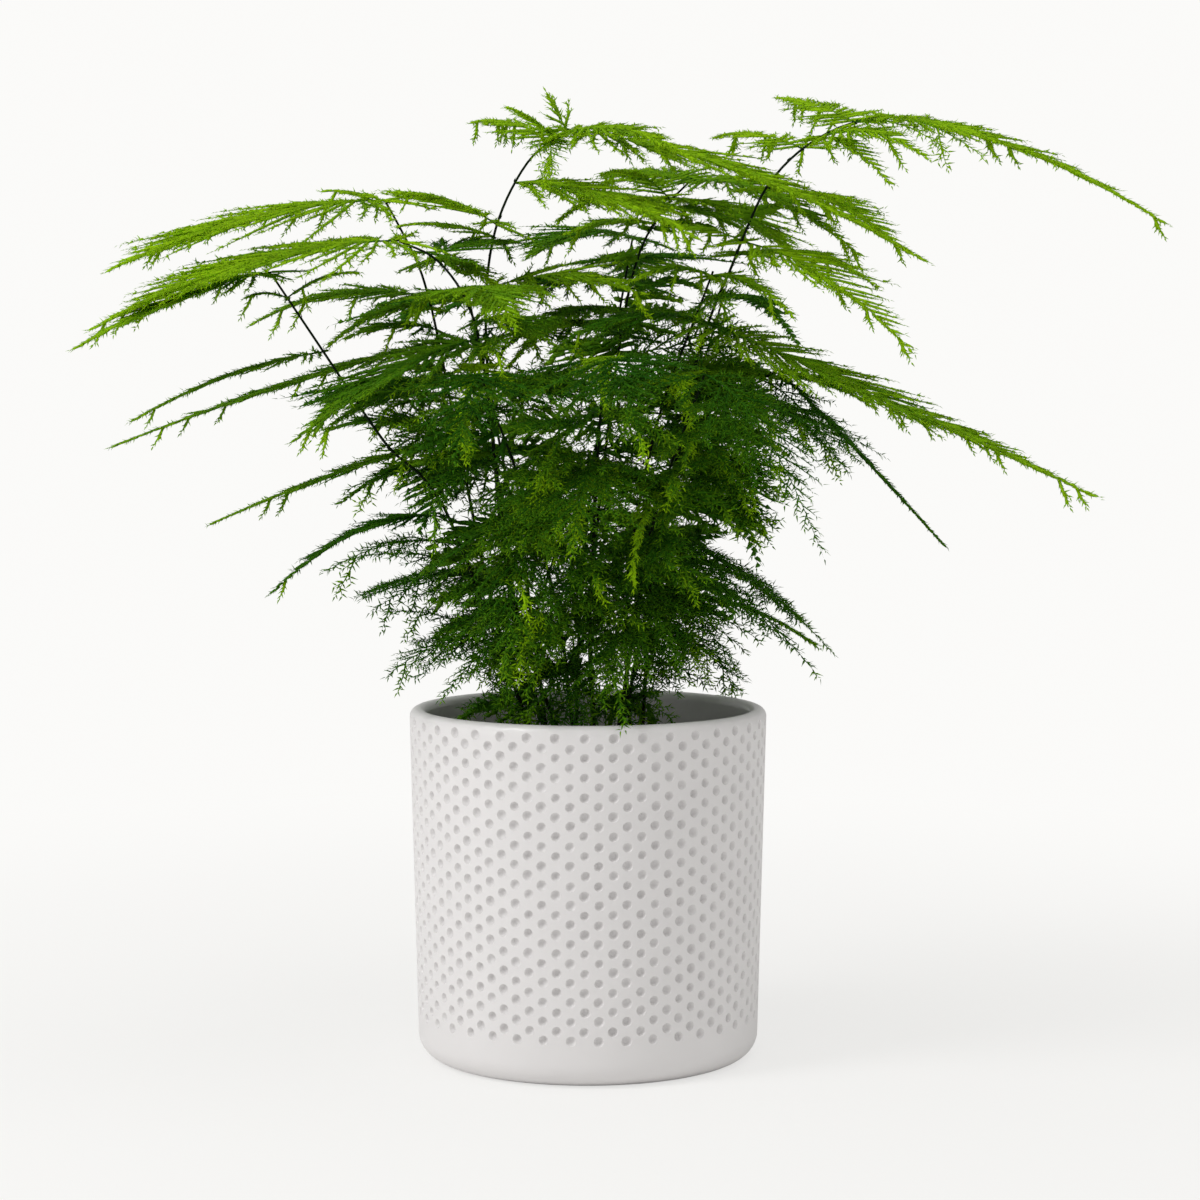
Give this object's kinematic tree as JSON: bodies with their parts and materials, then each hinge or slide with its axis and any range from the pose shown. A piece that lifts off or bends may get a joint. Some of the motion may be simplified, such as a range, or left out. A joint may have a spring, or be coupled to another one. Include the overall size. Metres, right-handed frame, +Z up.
{
  "type": "potted asparagus fern",
  "caption": "House plant: feathery flat fronds on thin arching canes, rooted in soil in a round white stoneware pot with a dimpled wall.",
  "frame": {"origin": "middle of the pot's flat base, where it rests", "axes": "+Z up along the pot's axis, -Y towards the viewer of the picture, +X to the viewer's right, along the widest spread of the fronds"},
  "size_m": [0.4016, 0.318, 0.3785],
  "materials": {
    "glazed_stoneware": "satin",
    "potting_mix": "matte",
    "cane_skin": "satin",
    "foliage": "matte"
  },
  "bodies": {
    "root": {"cane_back_left": "cane_skin", "cane_back_mid": "cane_skin", "cane_back_right": "cane_skin", "cane_centre_tall": "cane_skin", "cane_front": "cane_skin", "cane_front_left": "cane_skin", "cane_front_right": "cane_skin", "cane_left_front": "cane_skin", "cane_left_low": "cane_skin", "cane_left_upper": "cane_skin", "cane_right_low": "cane_skin", "cane_right_mid": "cane_skin", "cane_right_side": "cane_skin", "cane_right_tall": "cane_skin", "frond_back_high_left": "foliage", "frond_back_high_right": "foliage", "frond_back_low_left": "foliage", "frond_back_low_right": "foliage", "frond_centre_bright": "foliage", "frond_centre_high": "foliage", "frond_centre_high_left": "foliage", "frond_centre_second": "foliage", "frond_front_droop": "foliage", "frond_front_droop_left": "foliage", "frond_front_fan": "foliage", "frond_front_left_tip": "foliage", "frond_front_right_tip": "foliage", "frond_left_dark": "foliage", "frond_left_dark_back": "foliage", "frond_left_droop": "foliage", "frond_left_feather": "foliage", "frond_left_fluff": "foliage", "frond_left_fluff_low": "foliage", "frond_left_high": "foliage", "frond_left_high_inner": "foliage", "frond_left_inward": "foliage", "frond_left_long": "foliage", "frond_left_long_low": "foliage", "frond_left_sweep": "foliage", "frond_left_thin_high": "foliage", "frond_left_thin_low": "foliage", "frond_mid_back": "foliage", "frond_mid_left": "foliage", "frond_mid_top_left": "foliage", "frond_mid_top_right": "foliage", "frond_right_dark_long": "foliage", "frond_right_droop_front": "foliage", "frond_right_droop_high": "foliage", "frond_right_droop_low": "foliage", "frond_right_fluff_inner": "foliage", "frond_right_fluff_low": "foliage", "frond_right_fourth": "foliage", "frond_right_fourth_back": "foliage", "frond_right_high": "foliage", "frond_right_high_back": "foliage", "frond_right_long": "foliage", "frond_right_second": "foliage", "frond_right_third": "foliage", "pot": "glazed_stoneware", "potting_soil": "potting_mix"}
  },
  "joints": []
}
